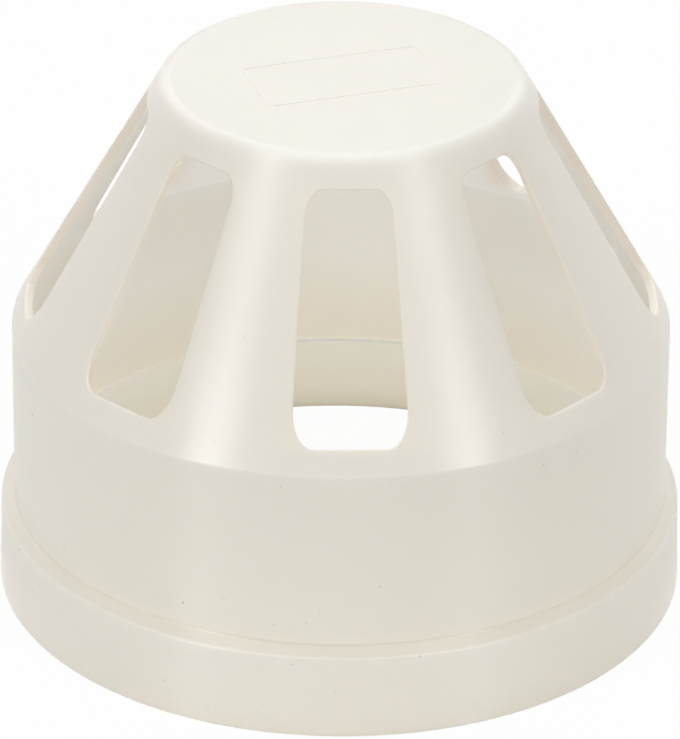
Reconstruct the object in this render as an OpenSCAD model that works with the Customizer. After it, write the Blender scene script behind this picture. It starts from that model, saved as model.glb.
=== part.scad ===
/* [Pipe socket] */
// Outside diameter of the drain pipe that the cap slips over
pipe_d = 110; // [95:1:160]
// Play between the pipe and the socket, on the diameter
pipe_play = 0.4; // [0.2:0.1:1]
// Depth of the socket, from the rim to the stop for the pipe's end
socket_depth = 13; // [8:0.5:30]
// Thickness of the band at its rim
band_t = 1.8; // [1.4:0.1:3]
// How far the band draws in outside, between its rim and its top edge
band_draft = 0.4; // [0:0.1:0.8]
// Height of the band's top edge above the stop
band_over_stop = 1.1; // [0.6:0.1:3]

/* [Straight wall] */
// How far the sloping ledge above the band steps in
ledge_in = 2.15; // [1.5:0.05:3]
// Height of the sloping ledge
ledge_h = 1.45; // [0.8:0.05:3]
// Height of the straight wall, between the ledge and the shoulder
wall_h = 30.75; // [15:0.25:60]
// Thickness of the straight wall
wall_t = 2.6; // [1.6:0.1:3.2]
// Height that the sloping stop for the pipe's end rises over, from the socket in to the straight wall
stop_rise = 2.2; // [0:0.1:3]
// Radius of the rounded inner edge of the stop
stop_r = 0.8; // [0.2:0.1:1.4]

/* [Cone] */
// Height of the cone, between the shoulder and the flat top
cone_h = 44.7; // [30:0.1:80]
// Outside diameter of the flat top, measured to its sharp corner
top_d = 58.9; // [40:0.1:64]
// Thickness of the cone
cone_t = 1.6; // [1.2:0.1:2.4]
// Thickness of the flat top
top_t = 2; // [1.2:0.1:4]
// Radius of the rounded edge round the flat top
top_edge_r = 2.8; // [1:0.1:4]
// Radius of the rounded edge along the shoulder
shoulder_r = 1.2; // [0.5:0.1:4]
// Radius of the small roundings on the ledge
ledge_r = 0.4; // [0.1:0.05:0.6]

/* [Slots] */
// Number of slots round the cone
slot_count = 8; // [4:1:10]
// Width of a slot at its top end, on the outer face
slot_top_w = 13.25; // [8:0.25:16]
// Width of a slot at its foot, on the outer face
slot_foot_w = 18.95; // [10:0.05:22]
// How far a slot's top end stays out from the flat top's corner, seen from above
slot_top_gap = 2.65; // [1.5:0.05:6]
// How far a slot's foot stays in from the shoulder, seen from above
slot_foot_gap = 2.15; // [1.2:0.05:6]
// Length and width of a slot's top corners, seen from above
slot_top_corner = [2.2, 2.8]; // [0.5:0.1:4]
// Length and width of a slot's foot corners, seen from above
slot_foot_corner = [3, 3.7]; // [0.5:0.1:4]
// How much a slot widens on each side on its way through the wall
slot_flare = 0.45; // [0:0.05:0.8]

/* [Panel] */
// Length of the bare panel outlined on the flat top
panel_l = 30.4; // [16:0.1:36]
// Width of the panel
panel_w = 14.8; // [8:0.1:20]
// Turn of the panel about the cap's axis
panel_turn = 16.6; // [0:0.1:90]
// Radius of the panel's corners
panel_r = 1.2; // [0.6:0.1:3]
// Width of the line round the panel
line_w = 0.3; // [0.2:0.05:0.5]
// Depth of the line round the panel
line_depth = 0.12; // [0.05:0.01:0.3]

/* [Hidden] */
$fn = 96;
// Steps along a small rounding
round_steps = 6;
// How far a cutter runs past the face that it cuts, and over the middle of a slot
past = 1;
overlap = 2;

// Radii, from the pipe outwards and upwards
socket_r = (pipe_d + pipe_play) / 2;
rim_r = socket_r + band_t;
band_top_r = rim_r - band_draft;
wall_r = band_top_r - ledge_in;
bore_r = wall_r - wall_t;
top_r = top_d / 2;

// Heights above the rim
band_h = socket_depth + band_over_stop;
ledge_z = band_h + ledge_h;
shoulder_z = ledge_z + wall_h;
total_h = shoulder_z + cone_h;

// Slope of the cone as run over rise and as an angle, and the cone's thickness measured level
cone_slope = (wall_r - top_r) / cone_h;
cone_angle = atan(cone_slope);
cone_across = cone_t / cos(cone_angle);

// Inner corners of the cone
inner_shoulder_z = shoulder_z + (wall_r - cone_across - bore_r) / cone_slope;
ceiling_z = total_h - top_t;
ceiling_r = wall_r - (ceiling_z - shoulder_z) * cone_slope - cone_across;
ceiling_round = top_edge_r / 2;

// Ends and middle of a slot, as radii on the outer face
slot_top_r = top_r + slot_top_gap;
slot_foot_r = wall_r - slot_foot_gap;
slot_mid_r = (slot_top_r + slot_foot_r) / 2;
slot_mid_z = shoulder_z + (wall_r - slot_mid_r) / cone_slope;

// Lean of a slot's sides, as run over rise and as an angle
slot_lean_slope = slot_flare / cone_t;
slot_lean = atan(slot_lean_slope);

// Unit vector from point a to point b
function toward(a, b) = (b - a) / norm(b - a);

// Points of a rounding between the tangent points a and b of the corner c
function rounding(a, c, b) = [
    for (i = [0:round_steps])
        let (t = 90 * i / round_steps)
        a + b - c + (c - b) * cos(t) + (c - a) * sin(t)
];

// Arc of radius r tangent to both edges at the corner c, which lies between a and b
function corner_arc(a, c, b, r) =
    let (
        u = toward(c, a),
        v = toward(c, b),
        half = acos(u * v) / 2,
        centre = c + toward([0, 0], u + v) * r / sin(half),
        start = c + u * r / tan(half) - centre,
        finish = c + v * r / tan(half) - centre,
        a0 = atan2(start[1], start[0]),
        turn = atan2(start[0] * finish[1] - start[1] * finish[0], start * finish)
    )
    [for (i = [0:round_steps]) let (t = a0 + turn * i / round_steps) centre + r * [cos(t), sin(t)]];

// Outside of the wall, from the rim's outer edge up to the centre of the flat top
function outer_line() =
    let (
        rim = [rim_r, 0],
        band_top = [band_top_r, band_h],
        ledge_top = [wall_r, ledge_z],
        shoulder = [wall_r, shoulder_z],
        top_corner = [top_r, total_h],
        centre = [0, total_h]
    )
    concat(
        [rim],
        corner_arc(rim, band_top, ledge_top, ledge_r),
        corner_arc(band_top, ledge_top, shoulder, ledge_r),
        corner_arc(ledge_top, shoulder, top_corner, shoulder_r),
        corner_arc(shoulder, top_corner, centre, top_edge_r),
        [centre]
    );

// Inside of the wall, from the centre of the ceiling down to the rim's inner edge
function inner_line() =
    let (
        centre = [0, ceiling_z],
        ceiling_edge = [ceiling_r, ceiling_z],
        inner_shoulder = [bore_r, inner_shoulder_z],
        stop_inner = [bore_r, socket_depth + stop_rise],
        stop_outer = [socket_r, socket_depth],
        rim = [socket_r, 0]
    )
    concat(
        [centre],
        corner_arc(centre, ceiling_edge, inner_shoulder, ceiling_round),
        [inner_shoulder],
        corner_arc(inner_shoulder, stop_inner, stop_outer, stop_r),
        [stop_outer, rim]
    );

// Moulded body before its slots are cut
module shell() {
    rotate_extrude()
        polygon(concat(outer_line(), inner_line()));
}

// Half of a slot's outline on the outer face, as [x, r], from its top end to its foot
function slot_side() =
    let (
        top = [slot_top_w / 2, slot_top_r],
        foot = [slot_foot_w / 2, slot_foot_r],
        taper = (foot[0] - top[0]) / (foot[1] - top[1])
    )
    concat(
        rounding(
            top - [slot_top_corner[1], 0],
            top,
            top + slot_top_corner[0] * [taper, 1]
        ),
        rounding(
            foot - slot_foot_corner[0] * [taper, 1],
            foot,
            foot - [slot_foot_corner[1], 0]
        )
    );

// Point of the cone's outer face in a slot's own frame: to the side, up the slope and out of the face
function on_face(x, r) =
    let (
        out = sqrt(r * r - x * x) - slot_mid_r,
        up = (slot_mid_r - r) / cone_slope
    )
    [
        x,
        up * cos(cone_angle) - out * sin(cone_angle),
        up * sin(cone_angle) + out * cos(cone_angle)
    ];

// Cutter for half of a slot, in the slot's own frame, with its side leaning so that the slot widens inwards
module half_cutter() {
    face = [for (p = slot_side()) on_face(p[0], p[1])];
    level = [for (f = face) [f[0] + f[2] * slot_lean_slope, f[1]]];
    outline = concat(level, [[-overlap, level[len(level) - 1][1]], [-overlap, level[0][1]]]);
    top = level[round_steps];
    foot = level[round_steps + 1];
    turn = atan2(foot[0] - top[0], top[1] - foot[1]);
    inside = min([for (f = face) f[2]]) - cone_t - past;
    outside = (foot[0] + overlap) * sin(slot_lean) + past;
    translate([foot[0], foot[1], 0])
        rotate([0, 0, turn])
            rotate([0, -slot_lean, 0])
                translate([0, 0, inside])
                    linear_extrude(height = outside - inside)
                        polygon([
                            for (p = outline)
                                let (d = p - foot)
                                [
                                    (d[0] * cos(turn) + d[1] * sin(turn)) * cos(slot_lean),
                                    d[1] * cos(turn) - d[0] * sin(turn)
                                ]
                        ]);
}

// Cutter for one slot, in the slot's own frame
module slot_cutter() {
    half_cutter();
    mirror([1, 0, 0])
        half_cutter();
}

// Cutters for all the slots, each square to the cone
module slot_cutters() {
    for (i = [0:slot_count - 1])
        rotate([0, 0, i * 360 / slot_count])
            translate([0, -slot_mid_r, slot_mid_z])
                rotate([90 - cone_angle, 0, 0])
                    slot_cutter();
}

// Rectangle with round corners, centred
module rounded_plate(l, w, r, h) {
    linear_extrude(height = h) {
        square([l - 2 * r, w], center = true);
        square([l, w - 2 * r], center = true);
        for (x = [-1, 1], y = [-1, 1])
            translate([x * (l / 2 - r), y * (w / 2 - r)])
                circle(r = r, $fn = 32);
    }
}

// Fine line round the bare panel on the flat top
module panel_line() {
    rotate([0, 0, panel_turn])
        translate([0, 0, total_h - line_depth])
            difference() {
                rounded_plate(panel_l, panel_w, panel_r, line_depth + past);
                translate([0, 0, -past])
                    rounded_plate(
                        panel_l - 2 * line_w,
                        panel_w - 2 * line_w,
                        panel_r - line_w,
                        line_depth + 3 * past
                    );
            }
}

// The whole cap is one moulding
module vent_cap() {
    color("#e4dfd3")
        difference() {
            shell();
            slot_cutters();
            panel_line();
        }
}

vent_cap();
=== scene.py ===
"""Vent pipe cap in ivory rigid PVC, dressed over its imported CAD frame.

The cap is one moulding: a band that slips over a drain pipe, a sloping ledge, a straight wall, a
cone with eight slots and a flat closed top. One eighth of it is drawn here with rounded slot
edges, a Geometry Nodes tree repeats it round the axis and welds it to the flat top, and the
result stands for the CAD solid.
"""

import logging
import math
from collections.abc import Iterable, Sequence
from dataclasses import dataclass
from enum import Enum

import bpy
import bmesh
from mathutils import Matrix, Vector

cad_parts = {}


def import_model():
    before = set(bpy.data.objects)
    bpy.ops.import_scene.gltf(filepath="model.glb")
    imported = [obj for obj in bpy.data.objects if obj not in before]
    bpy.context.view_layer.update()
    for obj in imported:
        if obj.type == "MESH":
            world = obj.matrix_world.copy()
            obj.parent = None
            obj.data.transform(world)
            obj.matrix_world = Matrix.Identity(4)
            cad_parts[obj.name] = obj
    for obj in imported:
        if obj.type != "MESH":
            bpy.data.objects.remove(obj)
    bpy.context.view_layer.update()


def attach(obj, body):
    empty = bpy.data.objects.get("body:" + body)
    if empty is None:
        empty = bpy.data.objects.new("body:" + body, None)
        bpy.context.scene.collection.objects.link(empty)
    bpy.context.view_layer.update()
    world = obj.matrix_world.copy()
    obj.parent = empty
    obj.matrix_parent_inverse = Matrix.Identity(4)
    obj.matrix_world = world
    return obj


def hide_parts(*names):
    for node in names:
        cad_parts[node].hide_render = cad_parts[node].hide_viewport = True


LOG = logging.getLogger("vent_pipe_cap")
MM = 0.001
WHITE = (1.0, 1.0, 1.0, 1.0)
UP, ACROSS = (0.0, 0.0, 1.0), (1.0, 0.0, 0.0)
MATH, VECTOR_MATH = "ShaderNodeMath", "ShaderNodeVectorMath"
RANGE, MIX, NOISE = "ShaderNodeMapRange", "ShaderNodeMix", "ShaderNodeTexNoise"
SPLIT, JOIN = "ShaderNodeSeparateXYZ", "ShaderNodeCombineXYZ"
Point2 = tuple[float, float]
Tree = bpy.types.NodeTree
Node = bpy.types.Node
Socket = bpy.types.NodeSocket
NodeValue = float | int | bool | str | Sequence[float] | Socket | Node


def linear(hex_colour: str) -> tuple[float, float, float, float]:
    """Turn an sRGB hex colour into the linear colour that Blender's sockets take.

    Args:
        hex_colour: The colour as "#RRGGBB".

    Returns:
        Red, green, blue and an alpha of 1, all linear.
    """
    parts = [int(hex_colour[i : i + 2], 16) / 255 for i in (1, 3, 5)]
    red, green, blue = (p / 12.92 if p <= 0.04045 else ((p + 0.055) / 1.055) ** 2.4 for p in parts)
    return red, green, blue, 1.0


def add_node(
    tree: Tree,
    kind: str,
    inputs: dict[str | int, NodeValue] | None = None,
    **settings: object,
) -> Node:
    """Add a node with its settings, and give each named input a value or a link.

    Args:
        tree: The node tree that the node joins.
        kind: The node's type name.
        inputs: Input name or number to a value, to the socket that feeds it, or to a node whose
            first output in use feeds it.
        **settings: The node's own properties, such as operation="MULTIPLY".

    Returns:
        The new node.
    """
    node = tree.nodes.new(kind)
    for name, value in settings.items():
        setattr(node, name, value)
    for key, value in (inputs or {}).items():
        source = value
        if isinstance(value, Node):
            source = next(socket for socket in value.outputs if socket.enabled)
        if isinstance(source, Socket):
            tree.links.new(source, node.inputs[key])
        else:
            node.inputs[key].default_value = source
    return node


@dataclass(frozen=True)
class CapSizes:
    """The moulding's sizes in mm, as in the CAD source, and what follows from them."""

    pipe_d: float = 110.0
    pipe_play: float = 0.4
    socket_depth: float = 13.0
    band_t: float = 1.8
    band_draft: float = 0.4
    band_over_stop: float = 1.1
    ledge_in: float = 2.15
    ledge_h: float = 1.45
    wall_h: float = 30.75
    wall_t: float = 2.6
    stop_rise: float = 2.2
    cone_h: float = 44.7
    top_d: float = 58.9
    cone_t: float = 1.6
    top_t: float = 2.0
    slot_count: int = 8
    slot_top_w: float = 13.25
    slot_foot_w: float = 18.95
    slot_top_gap: float = 2.65
    slot_foot_gap: float = 2.15
    slot_top_corner: Point2 = (2.2, 2.8)
    slot_foot_corner: Point2 = (3.0, 3.7)
    slot_flare: float = 0.45
    panel_l: float = 30.4
    panel_w: float = 14.8
    panel_turn: float = 16.6
    panel_r: float = 1.2
    line_w: float = 0.3
    line_depth: float = 0.12

    @property
    def socket_r(self) -> float:
        """Inner radius of the band."""
        return (self.pipe_d + self.pipe_play) / 2

    @property
    def rim_r(self) -> float:
        """Outer radius of the band at the rim."""
        return self.socket_r + self.band_t

    @property
    def band_top_r(self) -> float:
        """Outer radius of the band at its top edge."""
        return self.rim_r - self.band_draft

    @property
    def wall_r(self) -> float:
        """Outer radius of the straight wall."""
        return self.band_top_r - self.ledge_in

    @property
    def bore_r(self) -> float:
        """Inner radius of the straight wall."""
        return self.wall_r - self.wall_t

    @property
    def top_r(self) -> float:
        """Radius of the flat top at its sharp corner."""
        return self.top_d / 2

    @property
    def band_z(self) -> float:
        """Height of the band's top edge."""
        return self.socket_depth + self.band_over_stop

    @property
    def ledge_z(self) -> float:
        """Height of the ledge's upper edge."""
        return self.band_z + self.ledge_h

    @property
    def shoulder_z(self) -> float:
        """Height of the shoulder."""
        return self.ledge_z + self.wall_h

    @property
    def total_h(self) -> float:
        """Height of the flat top."""
        return self.shoulder_z + self.cone_h

    @property
    def ceiling_z(self) -> float:
        """Height of the ceiling inside."""
        return self.total_h - self.top_t

    @property
    def slope(self) -> float:
        """Run over rise of the cone."""
        return (self.wall_r - self.top_r) / self.cone_h

    @property
    def angle(self) -> float:
        """Angle of the cone from upright, in radians."""
        return math.atan(self.slope)

    @property
    def cone_across(self) -> float:
        """Thickness of the cone measured level."""
        return self.cone_t / math.cos(self.angle)

    @property
    def sector(self) -> float:
        """Angle of one sector, in radians."""
        return 2 * math.pi / self.slot_count

    @property
    def slot_top_r(self) -> float:
        """Radius of a slot's top end on the outer face."""
        return self.top_r + self.slot_top_gap

    @property
    def slot_foot_r(self) -> float:
        """Radius of a slot's foot on the outer face."""
        return self.wall_r - self.slot_foot_gap


class Skin(Enum):
    """The two faces of the cone's wall."""

    OUTER = "outer"
    INNER = "inner"


def tangent_arc(
    before: Point2, corner: Point2, after: Point2, radius: float, steps: int
) -> list[Point2]:
    """Round a corner of a profile with an arc that touches both of its edges.

    Args:
        before: A point on the edge that leads to the corner.
        corner: The sharp corner.
        after: A point on the edge that leaves the corner.
        radius: The arc's radius.
        steps: How many straight pieces the arc has.

    Returns:
        The arc's points, from the first edge to the second.
    """
    c = Vector(corner)
    u, v = (Vector(before) - c).normalized(), (Vector(after) - c).normalized()
    half = math.acos(max(-1.0, min(1.0, u.dot(v)))) / 2
    centre = c + (u + v).normalized() * radius / math.sin(half)
    start = c + u * radius / math.tan(half) - centre
    finish = c + v * radius / math.tan(half) - centre
    turn = math.atan2(start.x * finish.y - start.y * finish.x, start.dot(finish))
    a0 = math.atan2(start.y, start.x)
    return [
        (
            centre.x + radius * math.cos(a0 + turn * i / steps),
            centre.y + radius * math.sin(a0 + turn * i / steps),
        )
        for i in range(steps + 1)
    ]


@dataclass
class SlotEdge:
    """The closed outline of one slot, in mm, with the faces of the cut through the wall."""

    sizes: CapSizes
    end_steps: int = 16
    corner_steps: int = 8
    jamb_steps: int = 24
    lip: float = 0.3
    inner_lip: float = 0.25
    lip_steps: int = 4
    end_tries: int = 4
    depth_tries: int = 12

    def skin_z(self, skin: Skin, r: float) -> float:
        """Height of the chosen face of the cone at the radius r."""
        across = self.sizes.cone_across if skin is Skin.INNER else 0.0
        return self.sizes.shoulder_z + (self.sizes.wall_r - across - r) / self.sizes.slope

    def skin_r(self, skin: Skin, z: float) -> float:
        """Radius of the chosen face of the cone at the height z."""
        across = self.sizes.cone_across if skin is Skin.INNER else 0.0
        return self.sizes.wall_r - across - (z - self.sizes.shoulder_z) * self.sizes.slope

    def on_skin(self, skin: Skin, turn: float, r: float) -> Vector:
        """Point of the chosen face at an angle from the slot's middle and at a radius."""
        return Vector((r * math.sin(turn), -r * math.cos(turn), self.skin_z(skin, r)))

    def _rounding(self, a: Point2, c: Point2, b: Point2) -> list[Point2]:
        """Round a corner of the slot.

        Args:
            a: The tangent point before the corner.
            c: The sharp corner.
            b: The tangent point after the corner.

        Returns:
            The rounding's points from a to b.
        """
        steps = 2 * self.corner_steps
        points = []
        for i in range(steps + 1):
            t = math.pi / 2 * i / steps
            co, si = math.cos(t), math.sin(t)
            x, r = (
                a[k] + b[k] - c[k] + (c[k] - b[k]) * co + (c[k] - a[k]) * si for k in (0, 1)
            )
            points.append((x, r))
        return points

    def _end_radius(self, x: float, r_at_corner: float, x_at_corner: float) -> float:
        """Radius on the outer face of the slot's flat end, x to the side.

        Args:
            x: Distance from the slot's middle.
            r_at_corner: Radius where the end meets its corner.
            x_at_corner: Distance from the middle where the end meets its corner.

        Returns:
            The radius at x.
        """
        co, si = math.cos(self.sizes.angle), math.sin(self.sizes.angle)

        def up(radius: float, side: float) -> float:
            """Place up the slope of a point on the face, at its radius and distance aside."""
            return -radius / self.sizes.slope * co - math.sqrt(radius**2 - side**2) * si

        target = up(r_at_corner, x_at_corner)
        r = r_at_corner
        for _ in range(self.end_tries):
            rate = -co / self.sizes.slope - si * r / math.sqrt(r**2 - x**2)
            r -= (up(r, x) - target) / rate
        return r

    def half_outline(self) -> list[tuple[float, float, float]]:
        """Half of the outline on the +X side, from the middle of the top end to the foot's middle.

        Returns:
            Points as (x, radius, share of the full lean of the cut).
        """
        s = self.sizes
        top, foot = (s.slot_top_w / 2, s.slot_top_r), (s.slot_foot_w / 2, s.slot_foot_r)
        taper = (foot[0] - top[0]) / (foot[1] - top[1])
        length, width = s.slot_top_corner
        after_top = (top[0] + length * taper, top[1] + length)
        top_arc = self._rounding((top[0] - width, top[1]), top, after_top)
        length, width = s.slot_foot_corner
        before_foot = (foot[0] - length * taper, foot[1] - length)
        foot_arc = self._rounding(before_foot, foot, (foot[0] - width, foot[1]))
        points: list[tuple[float, float, float]] = []
        half_end = self.end_steps // 2
        for i in range(half_end):
            x = top_arc[0][0] * i / half_end
            points.append((x, self._end_radius(x, top[1], top_arc[0][0]), i / half_end))
        points += [(x, r, 1.0) for x, r in top_arc]
        a, b = top_arc[-1], foot_arc[0]
        for i in range(1, self.jamb_steps):
            t = i / self.jamb_steps
            points.append((a[0] + (b[0] - a[0]) * t, a[1] + (b[1] - a[1]) * t, 1.0))
        points += [(x, r, 1.0) for x, r in foot_arc]
        for i in range(1, half_end + 1):
            t = 1 - i / half_end
            x = foot_arc[-1][0] * t
            points.append((x, self._end_radius(x, foot[1], foot_arc[-1][0]), t))
        return points

    def _inward(self, side: float) -> Vector:
        """Direction of the cut from the outer to the inner face.

        Args:
            side: -1 to 1 from one jamb to the other, as a share of the full lean.

        Returns:
            The direction as a unit vector.
        """
        s = self.sizes
        lean = math.atan(s.slot_flare / s.cone_t)
        length = (s.slot_foot_r - s.slot_top_r) / math.sin(s.angle)
        turn = math.atan2((s.slot_foot_w - s.slot_top_w) / 2, length)
        across = math.sin(lean) * math.cos(turn) * side
        up = math.sin(lean) * math.sin(turn) * abs(side)
        down = math.cos(lean)
        co, si = math.cos(s.angle), math.sin(s.angle)
        return Vector((across, up * si + down * co, up * co - down * si)).normalized()

    def _depth(self, start: Vector, way: Vector) -> float:
        """Distance along the cut between the cone's two faces.

        Args:
            start: A point of the outer face.
            way: The direction of the cut there.

        Returns:
            The distance from the start to the inner face.
        """
        t = self.sizes.cone_t
        for _ in range(self.depth_tries):
            p = start + way * t
            gap = math.hypot(p.x, p.y) - self.skin_r(Skin.INNER, p.z)
            t += gap * math.cos(self.sizes.angle)
        return t

    def _settled(self, p: Vector, skin: Skin) -> Vector:
        """The point p moved out or in level until it lies on the chosen face."""
        scale = self.skin_r(skin, p.z) / math.hypot(p.x, p.y)
        return Vector((p.x * scale, p.y * scale, p.z))

    def sections(self) -> list[list[Vector]]:
        """Cross-sections of the cut, one for each point round the outline.

        Returns:
            For each outline point, the points from the outer face over both rounded edges to the
            inner face. They go clockwise as seen from outside, from the top-left corner's middle.
        """
        half = self.half_outline()
        ring = half + [(-x, r, -share) for x, r, share in reversed(half[1:-1])]
        first = len(ring) - self.end_steps // 2 - self.corner_steps
        ring = ring[first:] + ring[:first]
        outer, inner, ways = [], [], []
        for x, r, share in ring:
            p = Vector((x, -math.sqrt(r * r - x * x), self.skin_z(Skin.OUTER, r)))
            way = self._inward(share)
            outer.append(p)
            ways.append(way)
            inner.append(p + way * self._depth(p, way))
        result = []
        for i, way in enumerate(ways):
            section = self._rounded_edge(outer, way, i, self.lip, Skin.OUTER)
            other = self._rounded_edge(inner, -way, i, self.inner_lip, Skin.INNER)
            middle = (section[-1] + other[-1]) / 2
            result.append(section + [middle] + other[::-1])
        return result

    def _rounded_edge(
        self, ring: list[Vector], way: Vector, i: int, lip: float, skin: Skin
    ) -> list[Vector]:
        """Draw one section over a rounded edge of the cut.

        Args:
            ring: The sharp edge's points.
            way: The direction from the edge into the cut.
            i: The number of the edge's point.
            lip: The size of the rounding.
            skin: Which face of the cone the edge lies on.

        Returns:
            Points from the face of the cone onto the face of the cut.
        """
        p = ring[i]
        along = (ring[(i + 1) % len(ring)] - ring[i - 1]).normalized()
        out = Vector((p.x, p.y, 0)).normalized()
        normal = out * math.cos(self.sizes.angle) + Vector((0, 0, math.sin(self.sizes.angle)))
        away = normal.cross(along).normalized()
        a, b = self._settled(p + away * lip, skin), p + way * lip
        points = []
        for k in range(self.lip_steps + 1):
            t = math.pi / 2 * k / self.lip_steps
            points.append(a + b - p + (p - b) * math.cos(t) + (p - a) * math.sin(t))
        return points


@dataclass
class CapMoulding:
    """The whole cap as one welded moulding, with its roundings in mm."""

    sizes: CapSizes = CapSizes()
    sector_columns: int = 32
    rim_round: float = 0.3
    ledge_round: float = 0.4
    shoulder_round: float = 1.2
    inner_shoulder_round: float = 0.8
    stop_foot_round: float = 0.3
    stop_round: float = 0.8
    top_round: float = 2.8
    ceiling_round: float = 1.4
    tight_steps: int = 3
    ledge_steps: int = 4
    arc_steps: int = 6
    patch_shares: tuple[float, ...] = (0.03, 0.09, 0.2, 0.38, 0.6, 0.8)
    top_ring_share: float = 0.82
    panel_ring_shares: tuple[float, ...] = (0.7, 0.35)
    ceiling_ring_shares: tuple[float, ...] = (1.0, 0.6, 0.2)
    # Across the fine line: share of its width, and share of its depth there
    groove: tuple[Point2, ...] = ((0.0, 0.0), (0.2, 0.75), (0.5, 1.0), (0.8, 0.75), (1.0, 0.0))
    panel_corner_points: int = 12
    weld_mm: float = 0.002
    shading_weight: int = 50

    def __post_init__(self) -> None:
        """Set up the slot's edge and the lists that the mesh is collected in."""
        self.edge = SlotEdge(self.sizes)
        self.points: list[Vector] = []
        self.faces: list[tuple[int, ...]] = []

    def _row(self, points: Iterable[Vector]) -> list[int]:
        """Add points to the mesh.

        Args:
            points: The points, in mm.

        Returns:
            Their numbers.
        """
        start = len(self.points)
        self.points.extend(points)
        return list(range(start, len(self.points)))

    def _bridge(self, a: Sequence[int], b: Sequence[int], closed: bool = False) -> None:
        """Join two rows of the same length with quads.

        Args:
            a: The first row's point numbers.
            b: The second row's point numbers.
            closed: Whether the rows run all the way round.
        """
        count = len(a)
        for i in range(count if closed else count - 1):
            j = (i + 1) % count
            self.faces.append((a[i], a[j], b[j], b[i]))

    def _bridge_all(self, rows: Sequence[Sequence[int]], closed: bool = False) -> None:
        """Join each row to the next one."""
        for a, b in zip(rows, rows[1:]):
            self._bridge(a, b, closed)

    def _turns(self, columns: int, span: float) -> list[float]:
        """Angles of a row's columns across the given span, centred on the slot."""
        return [span * (i / columns - 0.5) for i in range(columns + 1)]

    def _ring(self, point: Point2, turns: Sequence[float]) -> list[int]:
        """Add a row of points at a profile point's radius and height."""
        r, z = point
        return self._row(Vector((r * math.sin(t), -r * math.cos(t), z)) for t in turns)

    def outer_profile(self) -> tuple[list[Point2], list[Point2]]:
        """Draw the profile outside.

        Returns:
            Its points from the rim to the cone, and from the cone to the flat top.
        """
        s = self.sizes
        inside, rim = (s.socket_r, 0.0), (s.rim_r, 0.0)
        band, ledge = (s.band_top_r, s.band_z), (s.wall_r, s.ledge_z)
        shoulder, top, centre = (s.wall_r, s.shoulder_z), (s.top_r, s.total_h), (0.0, s.total_h)
        below = (
            tangent_arc(inside, rim, band, self.rim_round, self.tight_steps)
            + tangent_arc(rim, band, ledge, self.ledge_round, self.ledge_steps)
            + tangent_arc(band, ledge, shoulder, self.ledge_round, self.ledge_steps)
            + tangent_arc(ledge, shoulder, top, self.shoulder_round, self.arc_steps)
        )
        return below, tangent_arc(shoulder, top, centre, self.top_round, 2 * self.arc_steps)

    def inner_profile(self) -> tuple[list[Point2], list[Point2]]:
        """Draw the profile inside.

        Returns:
            Its points from the rim to the cone, and from the cone to the ceiling.
        """
        s = self.sizes
        rim, outside = (s.socket_r, 0.0), (s.rim_r, 0.0)
        stop_foot = (s.socket_r, s.socket_depth)
        stop = (s.bore_r, s.socket_depth + s.stop_rise)
        shoulder = (s.bore_r, s.shoulder_z + (s.wall_r - s.cone_across - s.bore_r) / s.slope)
        ceiling_r = s.wall_r - (s.ceiling_z - s.shoulder_z) * s.slope - s.cone_across
        ceiling, centre = (ceiling_r, s.ceiling_z), (0.0, s.ceiling_z)
        below = (
            tangent_arc(outside, rim, stop_foot, self.rim_round, self.tight_steps)
            + tangent_arc(rim, stop_foot, stop, self.stop_foot_round, self.tight_steps)
            + tangent_arc(stop_foot, stop, shoulder, self.stop_round, self.arc_steps)
            + tangent_arc(stop, shoulder, ceiling, self.inner_shoulder_round, self.ledge_steps)
        )
        return below, tangent_arc(shoulder, ceiling, centre, self.ceiling_round, self.arc_steps)

    def _patch(self, skin: Skin, edge_row: list[int], low: list[int], high: list[int]) -> None:
        """Fill the cone's face between the slot's edge and the sector's four sides.

        Args:
            skin: Which face of the cone.
            edge_row: The closed row of points along the slot's edge.
            low: The open row below the slot, from left to right.
            high: The open row above the slot, from left to right.
        """
        columns, half = self.sector_columns, self.sizes.sector / 2
        sides = 2 * self.edge.corner_steps + self.edge.jamb_steps
        r_low = math.hypot(*self.points[low[0]].xy)
        r_high = math.hypot(*self.points[high[0]].xy)
        radii = [math.hypot(*self.points[edge_row[columns + k]].xy) for k in range(sides + 1)]
        shares = [(r - radii[0]) / (radii[-1] - radii[0]) for r in radii]
        right, left = (
            self._row(
                self.edge.on_skin(skin, turn, r_high + (r_low - r_high) * share)
                for share in shares[1:-1]
            )
            for turn in (half, -half)
        )
        frame = high + right + low[::-1] + left[::-1]
        previous = edge_row
        for share in self.patch_shares:
            row = []
            for inner, outer in zip(edge_row, frame, strict=True):
                p, q = self.points[inner], self.points[outer]
                turn = math.atan2(p.x, -p.y) * (1 - share) + math.atan2(q.x, -q.y) * share
                r = math.hypot(p.x, p.y) * (1 - share) + math.hypot(q.x, q.y) * share
                row.append(self.edge.on_skin(skin, turn, r))
            numbers = self._row(row)
            self._bridge(previous, numbers, closed=True)
            previous = numbers
        self._bridge(previous, frame, closed=True)

    def build_sector(self) -> bpy.types.Object:
        """Draw the eighth of the cap that holds the slot on the -Y side.

        Returns:
            The sector as an object.
        """
        self.points, self.faces = [], []
        turns = self._turns(self.sector_columns, self.sizes.sector)
        outer_below, outer_above = self.outer_profile()
        inner_below, inner_above = self.inner_profile()
        low_out, low_in, high_out, high_in = (
            [self._ring(p, turns) for p in profile]
            for profile in (outer_below, inner_below, outer_above, inner_above)
        )
        for rows in (low_out, low_in, high_out, high_in):
            self._bridge_all(rows)
        self._bridge(low_out[0], low_in[0])
        sections = self.edge.sections()
        columns = [self._row(section) for section in sections]
        for k in range(len(sections[0]) - 1):
            self._bridge([c[k] for c in columns], [c[k + 1] for c in columns], closed=True)
        self._patch(Skin.OUTER, [c[0] for c in columns], low_out[-1], high_out[0])
        self._patch(Skin.INNER, [c[-1] for c in columns], low_in[-1], high_in[0])
        return self._object("cap_sector")

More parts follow.
